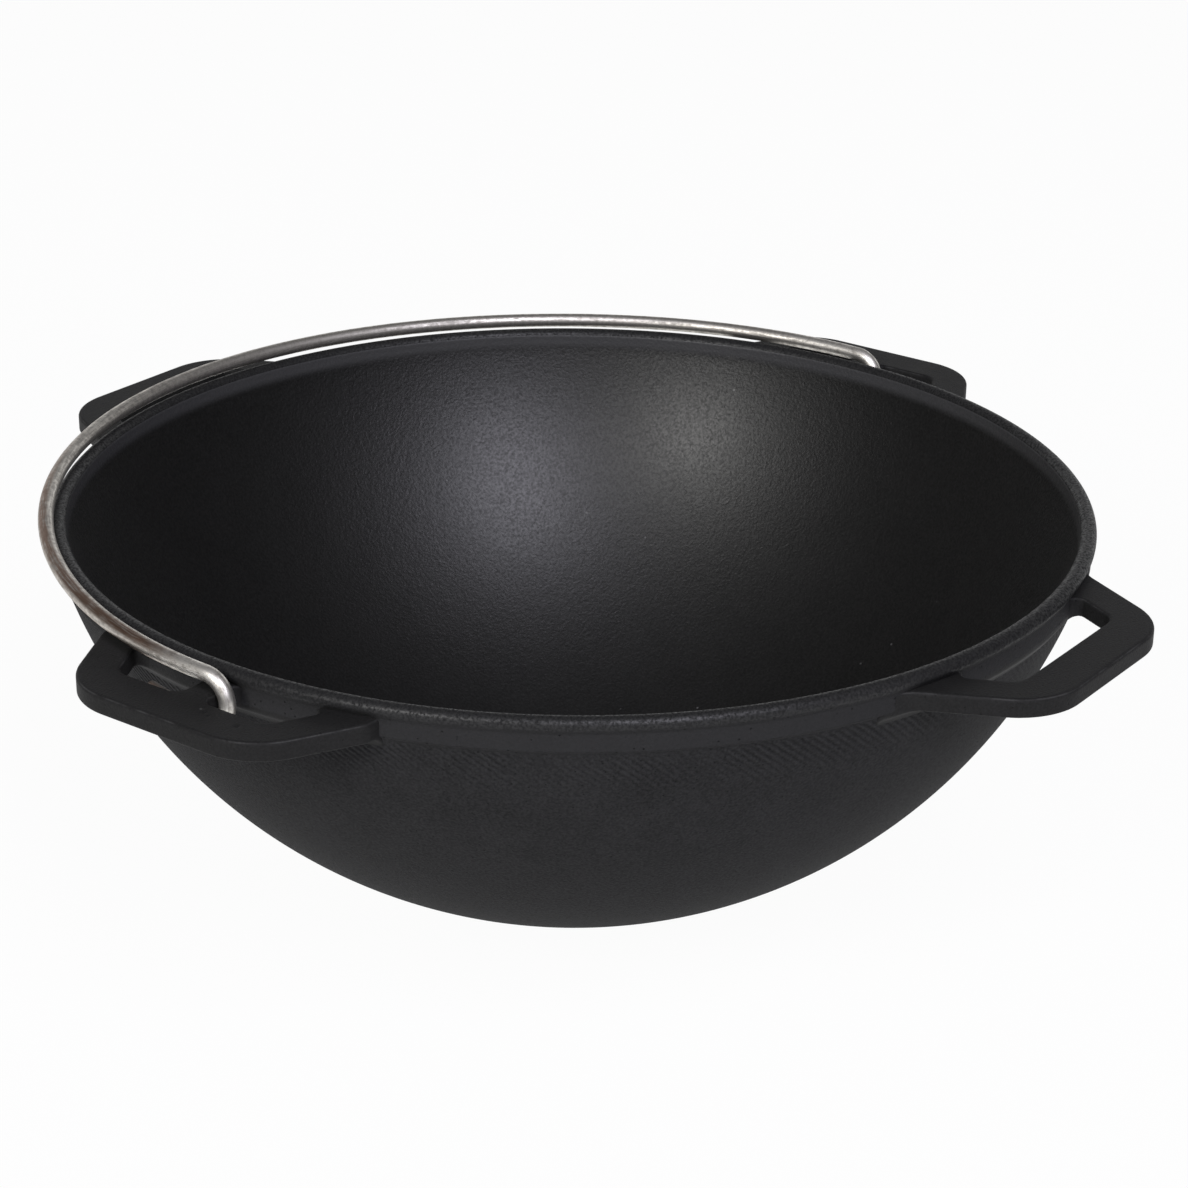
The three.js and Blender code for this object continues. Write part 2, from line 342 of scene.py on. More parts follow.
@dataclass(frozen=True)
class IronFinish:
    """A finish of the casting: tone, gloss and the size of its grain, with painted sheen on a band and
    painted shade in pits and on the lip's top where set.
    """

    name: str
    dark: Colour
    light: Colour
    # Paler tone: painted sheen on the bands above band_level, and real wear along the ears' edges.
    wear_and_sheen: Colour
    speck: Colour
    roughness: float
    roughness_spread: float
    specular: float
    grain_size: float
    grain_height: float
    swell_size: float
    swell_height: float
    speckle: float = 0.5
    # Darker tone of the pits: painted shade in the hollows.
    pit: Colour = (0.0, 0.0, 0.0)
    pit_depth: float = 0.0
    stripe_height: float = 0.0
    stripe_tone: float = 0.0
    gloss_weight: float = 0.0
    gloss_levels: Limits = (152.5, 156.5)
    gloss_roughness: float = 0.34
    # Darker tone of the lip's top under the coat: painted shade.
    gloss_top_shade: Colour | None = None
    band_level: float = 0.0
    band_share: float = 1.0
    worn_edges: bool = False

    mottle_limits: ClassVar[Limits] = (0.32, 0.68)
    band_fade: ClassVar[float] = 2.0
    stripe_count: ClassVar[float] = 345.0
    stripe_slope: ClassVar[float] = 2.125
    stripe_top: ClassVar[Limits] = (144.5, 142.5)
    stripe_end: ClassVar[Limits] = (121.0, 142.5)
    stripe_patches: ClassVar[Noise] = Noise(size=45.0, detail=1.0, roughness=0.5)
    stripe_patch_limits: ClassVar[Limits] = (0.22, 0.62)

    def make(self, effects: Effects) -> Material:
        """Builds the material.

        Args:
            effects: the shared shader effects.

        Returns:
            The material.
        """
        material, sheet, shader = new_material(self.name)
        place = millimetre_place(sheet)
        axes = sheet.axes(place)
        skin = effects.grain.use(
            sheet, Place=place, Grain_Size=self.grain_size, Grain_Height=self.grain_height,
            Swell_Size=self.swell_size, Swell_Height=self.swell_height, Pit_Depth=self.pit_depth,
        )
        broad = sheet.product(sheet.fade(skin["Mottle"], *self.mottle_limits), 1.0 - self.speckle)
        tone = sheet.math("ADD", broad, sheet.product(skin["Speckle"], self.speckle))
        height = skin["Height"]
        if self.stripe_height:
            marks = self.stripes(sheet, place, axes)
            height = sheet.math("ADD", height, sheet.product(marks, self.stripe_height))
            tone = sheet.math("ADD", tone, sheet.product(marks, self.stripe_tone), clamp=True)
        colour = sheet.blend(tone, self.dark, self.light)
        # Painted sheen: the band above band_level is blended towards the paler tone.
        if self.band_level:
            band = sheet.fade(axes["Z"], self.band_level - self.band_fade, self.band_level + self.band_fade)
            colour = sheet.blend(sheet.product(band, self.band_share), colour, self.wear_and_sheen)
        # Painted shade: the pits are blended towards a darker tone.
        if self.pit_depth:
            colour = sheet.blend(skin["Pits"], colour, self.pit)
        if self.gloss_weight:
            top = sheet.fade(axes["Z"], *self.gloss_levels)
            shine = sheet.product(skin["Speckle"], self.gloss_weight, top)
            sheet.set(shader, Coat_Weight=shine, Coat_Roughness=self.gloss_roughness)
            # Painted shade: the lip's top is blended towards a darker tone.
            if self.gloss_top_shade:
                colour = sheet.blend(top, colour, self.gloss_top_shade)
        colour = sheet.blend(skin["Specks"], colour, self.speck)
        # Real wear: the paler tone along the ears' convex edges.
        if self.worn_edges:
            wear = effects.wear.use(sheet, Place=place, Edge=sheet.attribute(EDGE_ATTRIBUTE))["Wear"]
            colour = sheet.blend(wear, colour, self.wear_and_sheen)
        half = self.roughness_spread / 2
        rough = sheet.spread(skin["Mottle"], self.roughness - half, self.roughness + half)
        sheet.set(shader, Base_Color=colour, Roughness=rough, Specular_IOR_Level=self.specular)
        sheet.set(shader, Normal=bump(sheet, height))
        return material

    def stripes(self, sheet: NodeSheet, place: Any, axes: Any) -> Socket:
        """Draws the slanted tool marks that the pattern left below the band.

        Args:
            sheet: the material's sheet.
            place: the place on the piece, in millimetres.
            axes: its X, Y and Z.

        Returns:
            The marks, from -1 to 1.
        """
        phase = sheet.product(sheet.math("ARCTAN2", axes["Y"], axes["X"]), self.stripe_count)
        climb = sheet.product(axes["Z"], self.stripe_slope)
        wave = sheet.math("SINE", sheet.math("ADD", phase, climb), 0.0)
        below = sheet.fade(axes["Z"], *self.stripe_top)
        fading = sheet.fade(axes["Z"], *self.stripe_end)
        patchy = sheet.fade(sheet.noise(place, self.stripe_patches), *self.stripe_patch_limits)
        return sheet.product(wave, below, fading, patchy)


@dataclass(frozen=True)
class SteelFinish:
    """Drawn steel wire: grey, with brown heat stains, dull spots and lengthwise scratches."""

    name: str
    bright: Colour
    dull: Colour
    rubbed: Colour
    stain: Colour
    roughness: float

    streak_length: ClassVar[float] = 14.0
    streaks: ClassVar[Noise] = Noise(size=0.9, detail=3.0, roughness=0.6)
    spots: ClassVar[Noise] = Noise(size=2.4, detail=3.0, roughness=0.6)
    tone_limits: ClassVar[Limits] = (0.7, 1.25)
    dull_rougher: ClassVar[float] = 0.10
    bright_smoother: ClassVar[float] = 0.06
    scratch_height: ClassVar[float] = 0.05
    bright_end: ClassVar[Limits] = (45.0, 5.0)
    stain_side: ClassVar[Limits] = (-60.0, -150.0)
    stain_back: ClassVar[Limits] = (6.0, 32.0)
    stain_inner: ClassVar[Limits] = (-0.40, 0.10)
    stain_outer: ClassVar[Limits] = (1.10, 0.72)
    stain_patch_limits: ClassVar[Limits] = (0.26, 0.56)

    def make(self) -> Material:
        """Builds the material on the wire's own coordinates.

        Returns:
            The material.
        """
        material, sheet, shader = new_material(self.name)
        place = sheet.vector("SCALE", Vector=sheet.attribute(WIRE_ATTRIBUTE, "Vector"), Scale=1.0 / MM)
        along = sheet.vector("MULTIPLY", in0=place, in1=(1.0 / self.streak_length, 1.0, 1.0))
        streaks = sheet.noise(along, self.streaks)
        marks = sheet.math("ADD", streaks, sheet.noise(place, self.spots))
        tone = sheet.fade(marks, *self.tone_limits)
        axes = sheet.axes(millimetre_place(sheet))
        rubbed = sheet.product(sheet.fade(axes["Y"], *self.bright_end), tone)
        colour = sheet.blend(tone, self.dull, self.bright)
        colour = sheet.blend(rubbed, colour, self.rubbed)
        colour = sheet.blend(self.stained(sheet, axes, streaks), colour, self.stain)
        rough = sheet.spread(tone, self.roughness + self.dull_rougher, self.roughness - self.bright_smoother)
        relief = bump(sheet, sheet.product(marks, self.scratch_height))
        sheet.set(shader, Base_Color=colour, Roughness=rough, Metallic=1.0, Normal=relief)
        return material

    def stained(self, sheet: NodeSheet, axes: Any, streaks: Any) -> Socket:
        """Masks where the wire is brown: along its upper outer side, on the stretch towards -X.

        Args:
            sheet: the material's sheet.
            axes: the X, Y and Z of the place on the piece.
            streaks: the noise along the wire.

        Returns:
            The mask.
        """
        outer = sheet.attribute(OUTER_ATTRIBUTE)
        strip = sheet.product(sheet.fade(outer, *self.stain_inner), sheet.fade(outer, *self.stain_outer))
        side = sheet.fade(axes["X"], *self.stain_side)
        back = sheet.fade(axes["Y"], *self.stain_back)
        return sheet.product(strip, side, back, sheet.fade(streaks, *self.stain_patch_limits))


@dataclass(frozen=True)
class FloorFinish:
    """A pale matt floor that looks white to the camera and still takes the object's shadow."""

    name: str
    colour: Colour
    shadow_share: float

    def make(self) -> Material:
        """Builds the material.

        Returns:
            The material.
        """
        material = bpy.data.materials.new(self.name)
        sheet = NodeSheet.emptied(material)
        matt = sheet.add("ShaderNodeBsdfDiffuse", Color=(*self.colour, 1.0))
        white = sheet.add("ShaderNodeEmission", Strength=1.0)
        rays = sheet.add("ShaderNodeLightPath").outputs
        seen = sheet.math("ADD", rays["Is Camera Ray"], rays["Is Glossy Ray"])
        seen = sheet.math("ADD", seen, rays["Is Transmission Ray"], clamp=True)
        share = sheet.product(seen, 1.0 - self.shadow_share)
        mixed = sheet.add("ShaderNodeMixShader", Fac=share, in1=matt.outputs[0], in2=white.outputs[0])
        sheet.add("ShaderNodeOutputMaterial", Surface=mixed.outputs[0])
        return material


# The outside's paler band tone is painted sheen on the outer band.
OUTSIDE_IRON = IronFinish(
    name="cast_outside", dark=(0.0120, 0.0120, 0.0124), light=(0.0326, 0.0326, 0.0334),
    # The pit tone is painted shade in the pits.
    wear_and_sheen=(0.0272, 0.0272, 0.0278), speck=(0.03, 0.03, 0.03), pit=(0.0080, 0.0080, 0.0084),
    roughness=0.74, roughness_spread=0.12, specular=0.09, grain_size=1.0, grain_height=0.34,
    swell_size=5.0, swell_height=0.06, speckle=0.75, pit_depth=0.16, stripe_height=0.20, stripe_tone=0.34,
    # The lip's top tone under the coat is painted shade.
    gloss_weight=0.90, gloss_roughness=0.43, gloss_top_shade=(0.0140, 0.0140, 0.0143),
    band_level=145.0, band_share=0.75,
)
# The inside's paler band tone is painted sheen on the inner band below the lip.
INSIDE_IRON = IronFinish(
    name="cast_inside", dark=(0.0024, 0.0023, 0.0022), light=(0.0038, 0.0036, 0.0035),
    wear_and_sheen=(0.047, 0.047, 0.049), speck=(0.07, 0.07, 0.07),
    roughness=0.46, roughness_spread=0.06, specular=0.46, grain_size=1.15, grain_height=0.19,
    swell_size=2.6, swell_height=0.10, gloss_weight=0.42, gloss_levels=(-2.0, 0.0), band_level=151.0,
)
# The ears' paler tone is real wear along their edges.
EAR_IRON = IronFinish(
    name="cast_ear", dark=(0.0090, 0.0089, 0.0089), light=(0.0172, 0.0170, 0.0170),
    # The pit tone is painted shade in the pits.
    wear_and_sheen=(0.045, 0.045, 0.045), speck=(0.06, 0.06, 0.06), pit=(0.0060, 0.0060, 0.0060),
    roughness=0.62, roughness_spread=0.14, specular=0.16, grain_size=0.9, grain_height=0.14,
    swell_size=4.0, swell_height=0.05, speckle=0.7, pit_depth=0.08, worn_edges=True,
)
WIRE_STEEL = SteelFinish(
    name="drawn_steel", bright=(0.70, 0.67, 0.62), dull=(0.38, 0.36, 0.33), rubbed=(0.95, 0.92, 0.87),
    stain=(0.22, 0.14, 0.10), roughness=0.48,
)
FLOOR_WHITE = FloorFinish(name="pale_floor", colour=(0.86, 0.86, 0.86), shadow_share=0.04)


def add_object(name: str, data: Any) -> Piece:
    """Makes an object at the origin and links it to the scene."""
    added = bpy.data.objects.new(name, data)
    bpy.context.scene.collection.objects.link(added)
    return added


def make_smooth(mesh: bpy.types.Mesh) -> None:
    """Shades all faces of a mesh smooth."""
    mesh.polygons.foreach_set("use_smooth", np.ones(len(mesh.polygons), dtype=bool))


def write_mesh(name: str, points: Array, faces: list[Any], materials: list[Material]) -> Piece:
    """Makes a smooth mesh object at the origin.

    Args:
        name: the piece's name.
        points: the vertices, in millimetres.
        faces: vertex numbers of each face.
        materials: the material slots.

    Returns:
        The object, linked to the scene.
    """
    mesh = bpy.data.meshes.new(name)
    mesh.from_pydata((points * MM).tolist(), [], faces)
    for material in materials:
        mesh.materials.append(material)
    make_smooth(mesh)
    mesh.update()
    return add_object(name, mesh)


def store_numbers(mesh: bpy.types.Mesh, name: str, values: Array) -> None:
    """Stores one number for each vertex of a mesh, under an attribute's name."""
    attribute = mesh.attributes.new(name, "FLOAT", "POINT")
    attribute.data.foreach_set("value", values.astype(np.float32))


def turned(points: Array, angle: float, first: int, second: int) -> Array:
    """Returns points in space, turned by an angle from their first axis towards their second."""
    cosine, sine = math.cos(math.radians(angle)), math.sin(math.radians(angle))
    moved = points.copy()
    moved[:, first] = cosine * points[:, first] - sine * points[:, second]
    moved[:, second] = sine * points[:, first] + cosine * points[:, second]
    return moved


def arc(centre: Array, radius: float, start: float, end: float, steps: int) -> Array:
    """Points along an arc in a plane.

    Args:
        centre: the arc's centre.
        radius: its radius.
        start: the angle of its first point.
        end: the angle of its last point.
        steps: the number of steps.

    Returns:
        The points, one row each.
    """
    angles = np.radians(np.linspace(start, end, steps + 1))
    return centre + radius * np.stack([np.cos(angles), np.sin(angles)], axis=1)


def angle_from(centre: Array, point: Array) -> float:
    """Returns the angle at which a point lies, seen from a centre."""
    return math.degrees(math.atan2(point[1] - centre[1], point[0] - centre[0]))


def rounded(points: Array, radii: Array, turn_per_step: float = 6.0) -> tuple[Array, Array]:
    """Rounds the corners of an open line.

    Args:
        points: the line's points, one row each.
        radii: the rounding at each point, where 0 keeps it sharp.
        turn_per_step: the most that a rounded corner turns in one step.

    Returns:
        The new points, and for each the number of the old point that it comes from.
    """
    made = []
    sources = []
    for number, (point, radius) in enumerate(zip(points, radii)):
        if radius == 0:
            made.append(point[None])
            sources.append(number)
            continue
        before = point - points[number - 1]
        after = points[number + 1] - point
        room = min(np.linalg.norm(before), np.linalg.norm(after)) / 2
        before = before / np.linalg.norm(before)
        after = after / np.linalg.norm(after)
        turn = math.atan2(before[0] * after[1] - before[1] * after[0], before @ after)
        setback = min(radius * math.tan(abs(turn) / 2), room)
        fitted = setback / math.tan(abs(turn) / 2)
        start = point - before * setback
        centre = start + math.copysign(fitted, turn) * np.array([-before[1], before[0]])
        first = angle_from(centre, start)
        steps = max(2, math.ceil(math.degrees(abs(turn)) / turn_per_step))
        corner = arc(centre, fitted, first, first + math.degrees(turn), steps)
        made.append(corner)
        sources += [number] * len(corner)
    return np.concatenate(made), np.array(sources)


def round_corner(first: Array, second: Array, overlap: float, radius: float) -> Array:
    """Distance to the corner that two faces form, rounded.

    Args:
        first: distance outside the first face.
        second: distance outside the second face.
        overlap: the cosine of the angle between the two faces' outward directions.
        radius: the rounding.

    Returns:
        The distance outside the corner, below 0 within it.
    """
    first = first + radius
    second = second + radius
    spread = 1.0 - overlap**2
    share_first = (first - overlap * second) / spread
    share_second = (second - overlap * first) / spread
    beyond = np.sqrt(np.maximum(share_first * first + share_second * second, 0.0))
    at_corner = (share_first > 0) & (share_second > 0)
    return np.where(at_corner, beyond, np.maximum(first, second)) - radius


def round_seam(first: Array, second: Array, overlap: float, radius: float) -> Array:
    """Distance to two joined bodies with a fillet in the corner between them.

    Args:
        first: distance outside the first body.
        second: distance outside the second body.
        overlap: the cosine of the angle between their outward directions at the corner.
        radius: the fillet.

    Returns:
        The distance outside the joined body.
    """
    return -round_corner(-first, -second, overlap, radius)


def slope_of(distance: Distance, points: Array, reach: float) -> Array:
    """Returns the slope of a distance at points, measured over a reach to both sides."""
    sides = np.eye(3) * reach
    steps = [distance(points + side) - distance(points - side) for side in sides]
    return np.stack(steps, axis=-1) / (2 * reach)


def bend_of(distance: Distance, points: Array, reach: float) -> Array:
    """Returns how sharply a surface bends at its points: above 0 at outer edges, below 0 in hollows."""
    sides = np.eye(3) * reach
    total = sum(distance(points + side) + distance(points - side) for side in sides)
    return (total - 6 * distance(points)) / reach**2


@dataclass
class SurfaceNet:
    """Meshes the surface where a distance is zero, with one point in each cell that it crosses."""

    distance: Distance
    low: Array
    high: Array
    step: float
    settle_rounds: int = 4
    settle_reach: float = 0.1
    least_slope: float = 0.5

    def build(self) -> tuple[Array, list[Any]]:
        """Finds the surface between the lowest and the highest corner, in cells of one step.

        Returns:
            The points, and the four point numbers of each face, with faces pointing outwards.
        """
        counts = np.ceil((self.high - self.low) / self.step).astype(int) + 1
        axes = [self.low[axis] + self.step * np.arange(counts[axis]) for axis in range(3)]
        grid = np.stack(np.meshgrid(*axes, indexing="ij"), axis=-1)
        values = self.distance(grid.reshape(-1, 3)).reshape(counts)
        totals = np.zeros((*(counts - 1), 3))
        hits = np.zeros(counts - 1)
        crossings = []
        for axis in range(3):
            cells, spots, outwards = self.crossed(grid, values, axis)
            for cell in cells:
                np.add.at(totals, tuple(cell.T), spots)
                np.add.at(hits, tuple(cell.T), 1)
            crossings.append((cells, outwards))

        used = hits > 0
        numbers = np.full(hits.shape, -1)
        numbers[used] = np.arange(np.count_nonzero(used))
        faces = []
        for cells, outwards in crossings:
            corners = np.stack([numbers[tuple(cell.T)] for cell in cells], axis=1)
            corners[~outwards] = corners[~outwards, ::-1]
            faces += corners.tolist()
        return self.settled(totals[used] / hits[used][:, None]), faces

    def crossed(self, grid: Array, values: Array, axis: int) -> tuple[list[Array], Array, Array]:
        """Finds the grid's edges along one axis that the surface crosses.

        Args:
            grid: the places of the grid.
            values: the distance at each.
            axis: the number of the axis.

        Returns:
            The four cells around each edge, the places of the crossings, and whether each leads outwards.
        """
        across, up = (axis + 1) % 3, (axis + 2) % 3
        inside = np.moveaxis(values < 0, axis, 0)
        place = np.argwhere(np.moveaxis(inside[:-1] != inside[1:], 0, axis))
        for other in (across, up):
            place = place[(place[:, other] > 0) & (place[:, other] < values.shape[other] - 1)]
        ahead = place.copy()
        ahead[:, axis] += 1
        near = values[tuple(place.T)]
        far = values[tuple(ahead.T)]
        spots = grid[tuple(place.T)].copy()
        spots[:, axis] += self.step * near / (near - far)
        cells = []
        for shift_across, shift_up in ((-1, -1), (0, -1), (0, 0), (-1, 0)):
            cell = place.copy()
            cell[:, across] += shift_across
            cell[:, up] += shift_up
            cells.append(cell)
        return cells, spots, near < 0

    def settled(self, points: Array) -> Array:
        """Returns points moved onto the surface along its slope, by half a cell at most in a round."""
        for _ in range(self.settle_rounds):
            slope = slope_of(self.distance, points, self.step * self.settle_reach)
            size = np.maximum((slope**2).sum(axis=1), self.least_slope**2)
            move = -(self.distance(points) / size)[:, None] * slope
            points = points + np.clip(move, -self.step / 2, self.step / 2)
        return points


class Zone(Enum):
    """The surfaces of the bowl, in the order of its material slots."""

    OUTSIDE = 0
    INSIDE = 1


@dataclass
class Bowl:
    """The cast bowl: ground flat, round wall, outer band, rounded lip, inner band and round inside."""

    rim_radius: float
    height: float
    base_radius: float = 36.0
    floor_thickness: float = 5.0
    lip_width: float = 6.4
    lip_overhang: float = 1.4
    band_depth: float = 13.0
    band_step: float = 1.2
    inner_band_depth: float = 7.5
    inner_band_draft: float = 0.4
    base_round: float = 14.0
    foot_rise: float = 0.5
    foot_hollow: float = 1.6
    foot_round: float = 1.0
    neck_depth: float = 3.2
    neck_steps: int = 10
    inner_band_round: float = 12.0
    segments: int = 384
    wall_steps: int = 64
    lip_steps: int = 36
    lip_steps_inside: int = 4

    @classmethod
    def from_frame(cls) -> "Bowl":
        """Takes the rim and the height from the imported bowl."""
        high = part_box("bowl")[1] / MM
        return cls(rim_radius=high.x, height=high.z)

    @property
    def band_radius(self) -> float:
        """Radius of the smooth outer band."""
        return self.rim_radius - self.lip_overhang

    @property
    def band_foot(self) -> float:
        """Level of the band's foot."""
        return self.height - self.band_depth

    @property
    def lip_radius(self) -> float:
        """Radius of the lip's round."""
        return self.lip_width / 2

    @property
    def lip_centre(self) -> Array:
        """Middle of the lip's round, as distance and level."""
        return np.array([self.rim_radius - self.lip_radius, self.height - self.lip_radius])

    @property
    def wall_ends(self) -> tuple[Array, Array]:
        """Foot and top of the outer wall, as distances and levels."""
        top = np.array([self.band_radius - self.band_step, self.band_foot])
        return np.array([self.base_radius, 0.0]), top

    def ball(self, start: Array, end: Array) -> tuple[Array, float]:
        """Returns the centre and the radius of the ball on the axis that passes through two points."""
        level = (end @ end - start @ start) / (2 * (end[1] - start[1]))
        centre = np.array([0.0, level])
        return centre, float(np.linalg.norm(start - centre))

    def outer_ball(self) -> tuple[Array, float]:
        """Returns the centre and the radius of the outer wall."""
        return self.ball(*self.wall_ends)

    def wall_points(self, start: Array, end: Array) -> Array:
        """Profile points along a ball from one point to another, with both ends."""
        centre, radius = self.ball(start, end)
        return arc(centre, radius, angle_from(centre, start), angle_from(centre, end), self.wall_steps)

    def profile(self) -> tuple[Array, Array]:
        """Works out the outline from the middle of the ground flat, round the lip, to that of the inside.

        Returns:
            The points as distances and levels, and each point's zone number.
        """
        outer = self.wall_points(*self.wall_ends)
        inside_radius = self.rim_radius - self.lip_width - self.inner_band_draft
        inside_top = np.array([inside_radius, self.height - self.inner_band_depth])
        inner = self.wall_points(inside_top, np.array([0.0, self.floor_thickness]))
        lip = arc(self.lip_centre, self.lip_radius, 0.0, 180.0, self.lip_steps)
        lip_outside, lip_inside = np.split(lip, [-self.lip_steps_inside])
        climb = np.linspace(0.0, 1.0, self.neck_steps, endpoint=False)
        swelling = self.band_radius + self.lip_overhang * climb**2 * (3 - 2 * climb)
        neck = np.column_stack([swelling, self.lip_centre[1] - self.neck_depth * (1 - climb)])

        rows: list[tuple[float, float, float, Zone]] = [(0.0, 0.0, 0.0, Zone.OUTSIDE)]
        rows.append((*outer[0], self.base_round, Zone.OUTSIDE))
        rows += [(*point, 0.0, Zone.OUTSIDE) for point in outer[1:-1]]
        rows.append((outer[-1][0], self.band_foot - self.foot_rise, self.foot_hollow, Zone.OUTSIDE))
        rows.append((self.band_radius, self.band_foot + self.foot_rise, self.foot_round, Zone.OUTSIDE))
        rows += [(*point, 0.0, Zone.OUTSIDE) for point in np.concatenate([neck, lip_outside])]
        rows += [(*point, 0.0, Zone.INSIDE) for point in lip_inside]
        rows.append((*inner[0], self.inner_band_round, Zone.INSIDE))
        rows += [(*point, 0.0, Zone.INSIDE) for point in inner[1:]]

        points = np.array([row[:2] for row in rows])
        radii = np.array([row[2] for row in rows])
        zones = np.array([row[3].value for row in rows])
        points, sources = rounded(points, radii)
        return points, zones[sources]

    def build(self, effects: Effects) -> Piece:
        """Turns the profile round the axis and dresses its zones.

        Args:
            effects: the shared shader effects.

        Returns:
            The bowl.
        """
        profile, zones = self.profile()
        turns = np.linspace(0.0, 2 * math.pi, self.segments, endpoint=False)
        rings = profile[1:-1]
        around = np.stack([np.cos(turns), np.sin(turns)], axis=1)
        flat = rings[:, None, :1] * around[None]
        level = np.broadcast_to(rings[:, None, 1:], (*flat.shape[:2], 1))
        points = np.concatenate([flat, level], axis=2).reshape(-1, 3)
        poles = np.array([[0.0, 0.0, profile[0][1]], [0.0, 0.0, profile[-1][1]]])
        points = np.concatenate([points, poles])

        here = np.arange(self.segments)
        beside = np.roll(here, -1)
        faces = []
        slots = []
        for ring in range(len(rings) - 1):
            low, high = ring * self.segments, (ring + 1) * self.segments
            quads = np.stack([low + here, low + beside, high + beside, high + here], axis=1)
            faces += quads.tolist()
            slots += [zones[ring + 2]] * self.segments
        last = (len(rings) - 1) * self.segments
        foot, floor = len(points) - 2, len(points) - 1
        faces += np.stack([np.full_like(here, foot), beside, here], axis=1).tolist()
        faces += np.stack([np.full_like(here, floor), last + here, last + beside], axis=1).tolist()
        slots += [Zone.OUTSIDE.value] * self.segments + [Zone.INSIDE.value] * self.segments

        finishes = [finish.make(effects) for finish in (OUTSIDE_IRON, INSIDE_IRON)]
        piece = write_mesh("cast_bowl", points, faces, finishes)
        piece.data.polygons.foreach_set("material_index", np.array(slots, dtype=np.int32))
        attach(piece, CASTING_BODY)
        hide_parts("bowl")
        return piece


@dataclass(frozen=True)
class EarForm:
    """What the kinds of ear differ in.

    The margin is how far an ear's ends run on past the fillet at the band, or stop short of it, below 0.
    """

    bridged: bool
    root_fillet: float
    root_margin: float


class EarKind(Enum):
    """A handle with one hole for the fingers, or an ear with a bridge for the bail's hook."""

    HANDLE = EarForm(bridged=False, root_fillet=13.0, root_margin=4.0)
    BAIL_EAR = EarForm(bridged=True, root_fillet=1.2, root_margin=-4.2)


@dataclass(frozen=True)
class Dent:
    """A small round nick in an ear, by the place of its middle and its size."""

    across: float
    out: float
    level: float
    radius: float


LEFT_EAR_DENTS = (
    Dent(across=-27.5, out=221.9, level=153.0, radius=1.4),
    Dent(across=-12.0, out=220.8, level=153.3, radius=1.5),
    Dent(across=-14.6, out=221.6, level=153.2, radius=1.3),
    Dent(across=-32.3, out=232.3, level=152.2, radius=1.1),
    Dent(across=-54.0, out=208.9, level=145.4, radius=1.2),
    Dent(across=-52.6, out=211.3, level=145.2, radius=0.9),
)


